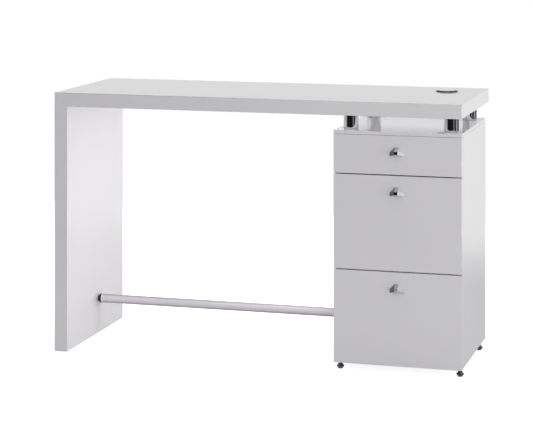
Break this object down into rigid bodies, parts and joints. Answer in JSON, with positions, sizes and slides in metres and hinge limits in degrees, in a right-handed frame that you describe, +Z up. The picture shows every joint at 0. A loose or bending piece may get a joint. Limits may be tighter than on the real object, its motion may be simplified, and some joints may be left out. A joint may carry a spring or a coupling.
{
  "type": "manicure table",
  "caption": "White salon table: a top on a full-depth leg panel and a raised drawer pedestal on chrome posts, with a foot rail and a cable grommet.",
  "frame": {"origin": "on the floor, below the middle of the bounding box in width and depth", "axes": "+X along the table from the leg panel to the pedestal, -Y the side the drawers open to, +Z up"},
  "size_m": [1.2, 0.485, 0.76],
  "materials": {
    "lacquer_board": "gloss white lacquer over board",
    "melamine": "matt white melamine board",
    "beech": "raw",
    "chrome": "polished",
    "satin_steel": "satin",
    "zinc_steel": "zinc plated",
    "black_nickel": "gloss black",
    "glide_plastic": "matt"
  },
  "bodies": {
    "table": {"table_top": "lacquer_board", "leg_panel": "lacquer_board", "mitre_spline": "beech", "leg_glide_front": "glide_plastic", "leg_glide_back": "glide_plastic", "grommet_ring": "black_nickel", "spacer_post_front_left": "chrome", "spacer_post_front_right": "chrome", "spacer_post_back_left": "chrome", "spacer_post_back_right": "chrome", "post_bolt_front_left": "zinc_steel", "post_bolt_front_right": "zinc_steel", "post_bolt_back_left": "zinc_steel", "post_bolt_back_right": "zinc_steel", "pedestal_side_left": "lacquer_board", "pedestal_side_right": "lacquer_board", "pedestal_top": "lacquer_board", "pedestal_bottom": "lacquer_board", "pedestal_back": "lacquer_board", "foot_rail": "satin_steel", "rail_socket_left": "black_nickel", "rail_socket_right": "black_nickel", "slide_lower_left_cabinet": "zinc_steel", "slide_lower_right_cabinet": "zinc_steel", "slide_middle_left_cabinet": "zinc_steel", "slide_middle_right_cabinet": "zinc_steel", "slide_upper_left_cabinet": "zinc_steel", "slide_upper_right_cabinet": "zinc_steel"},
    "lower_drawer": {"drawer_lower_front": "lacquer_board", "drawer_lower_wrap": "melamine", "drawer_lower_bottom": "melamine", "drawer_lower_pull": "chrome", "drawer_lower_pull_screw": "zinc_steel", "slide_lower_left_drawer": "zinc_steel", "slide_lower_right_drawer": "zinc_steel"},
    "middle_drawer": {"drawer_middle_front": "lacquer_board", "drawer_middle_wrap": "melamine", "drawer_middle_bottom": "melamine", "drawer_middle_pull": "chrome", "drawer_middle_pull_screw": "zinc_steel", "slide_middle_left_drawer": "zinc_steel", "slide_middle_right_drawer": "zinc_steel"},
    "upper_drawer": {"drawer_upper_front": "lacquer_board", "drawer_upper_wrap": "melamine", "drawer_upper_bottom": "melamine", "drawer_upper_pull": "chrome", "drawer_upper_pull_screw": "zinc_steel", "slide_upper_left_drawer": "zinc_steel", "slide_upper_right_drawer": "zinc_steel"},
    "lower_slide_runners": {"slide_lower_left_middle": "zinc_steel", "slide_lower_right_middle": "zinc_steel"},
    "middle_slide_runners": {"slide_middle_left_middle": "zinc_steel", "slide_middle_right_middle": "zinc_steel"},
    "upper_slide_runners": {"slide_upper_left_middle": "zinc_steel", "slide_upper_right_middle": "zinc_steel"},
    "grommet_cap": {"grommet_cap": "chrome"},
    "foot_front_left": {"levelling_foot_front_left": "black_nickel"},
    "foot_front_right": {"levelling_foot_front_right": "black_nickel"},
    "foot_back_left": {"levelling_foot_back_left": "black_nickel"},
    "foot_back_right": {"levelling_foot_back_right": "black_nickel"}
  },
  "joints": [
    {"name": "lower_drawer_slide", "type": "slide", "parent": "table", "child": "lower_drawer", "axis": [0, -1, 0], "range_m": [0, 0.34]},
    {"name": "middle_drawer_slide", "type": "slide", "parent": "table", "child": "middle_drawer", "axis": [0, -1, 0], "range_m": [0, 0.34]},
    {"name": "upper_drawer_slide", "type": "slide", "parent": "table", "child": "upper_drawer", "axis": [0, -1, 0], "range_m": [0, 0.34]},
    {"name": "lower_runner_slide", "type": "slide", "parent": "table", "child": "lower_slide_runners", "axis": [0, -1, 0], "range_m": [0, 0.172]},
    {"name": "middle_runner_slide", "type": "slide", "parent": "table", "child": "middle_slide_runners", "axis": [0, -1, 0], "range_m": [0, 0.172]},
    {"name": "upper_runner_slide", "type": "slide", "parent": "table", "child": "upper_slide_runners", "axis": [0, -1, 0], "range_m": [0, 0.172]},
    {"name": "grommet_cap_turn", "type": "hinge", "parent": "table", "child": "grommet_cap", "pos_m": [0.496, 0.1225, 0.755], "axis": [0, 0, 1], "continuous": true},
    {"name": "foot_front_left_screw", "type": "slide", "parent": "table", "child": "foot_front_left", "axis": [0, 0, -1], "range_m": [0, 0.01]},
    {"name": "foot_front_right_screw", "type": "slide", "parent": "table", "child": "foot_front_right", "axis": [0, 0, -1], "range_m": [0, 0.01]},
    {"name": "foot_back_left_screw", "type": "slide", "parent": "table", "child": "foot_back_left", "axis": [0, 0, -1], "range_m": [0, 0.01]},
    {"name": "foot_back_right_screw", "type": "slide", "parent": "table", "child": "foot_back_right", "axis": [0, 0, -1], "range_m": [0, 0.01]}
  ],
  "couplings": [
    {"joint": "lower_runner_slide", "follows": "lower_drawer_slide", "ratio": 0.5},
    {"joint": "middle_runner_slide", "follows": "middle_drawer_slide", "ratio": 0.5},
    {"joint": "upper_runner_slide", "follows": "upper_drawer_slide", "ratio": 0.5}
  ]
}
